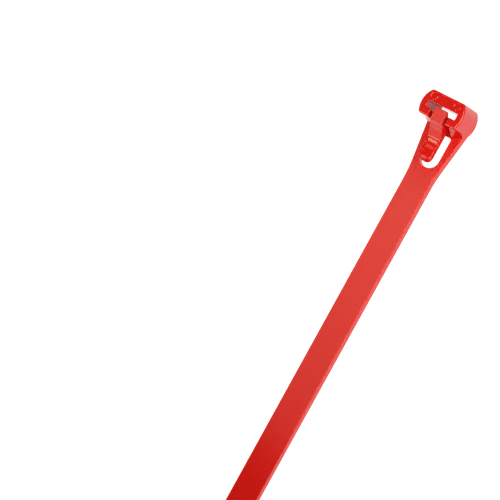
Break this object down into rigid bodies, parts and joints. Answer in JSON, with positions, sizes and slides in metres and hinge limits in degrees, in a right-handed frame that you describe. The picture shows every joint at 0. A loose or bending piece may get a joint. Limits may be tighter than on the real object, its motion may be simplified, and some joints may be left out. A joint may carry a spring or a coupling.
{
  "type": "cable tie",
  "caption": "Reusable nylon cable tie with a toothed strap, a slotted head and a pawl on a release lever.",
  "frame": {"origin": "middle of the strap slot, on the bundle side of the tie", "axes": "+X from the head along the strap to the tail, +Y across the strap, +Z out of the slot on the side away from the bundle"},
  "size_m": [0.2, 0.0126, 0.0071],
  "materials": {
    "nylon": "moulded nylon, satin"
  },
  "bodies": {
    "root": {"cable_tie": "nylon"}
  },
  "joints": []
}
